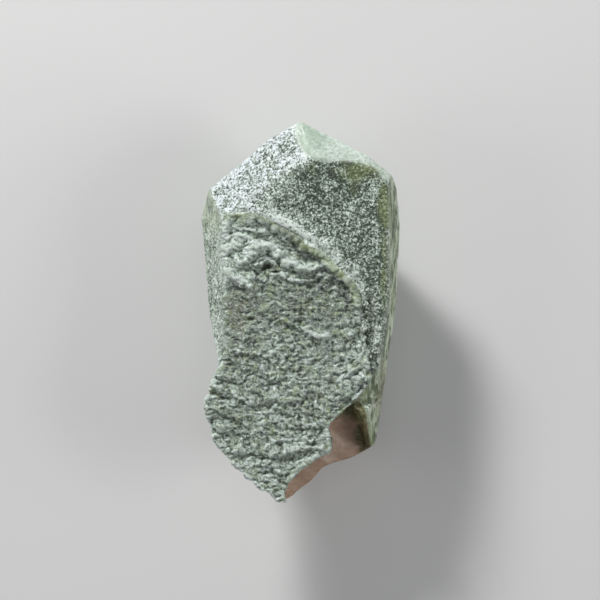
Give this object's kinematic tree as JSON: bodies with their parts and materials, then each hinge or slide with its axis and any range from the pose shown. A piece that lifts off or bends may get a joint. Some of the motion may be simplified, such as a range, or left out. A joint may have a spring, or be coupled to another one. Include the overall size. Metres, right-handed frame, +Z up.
{
  "type": "phantom quartz point",
  "caption": "Broken-rooted quartz crystal with a blunt faceted tip and a lumpy grey-green chlorite crust sunk into its front, lying on its back.",
  "frame": {"origin": "middle of the base of the box round the crystal, on the surface that it lies on", "axes": "+Y along the crystal from the broken root to the tip, +Z up out of the crusted front, +X to the crystal's right as it is seen from above with the tip at the top"},
  "size_m": [0.0398, 0.0762, 0.0226],
  "materials": {
    "chlorite_quartz": "frosted grey-green quartz full of chlorite, glassy on the side faces and clear at the break"
  },
  "bodies": {
    "root": {"quartz_point": "chlorite_quartz"}
  },
  "joints": []
}
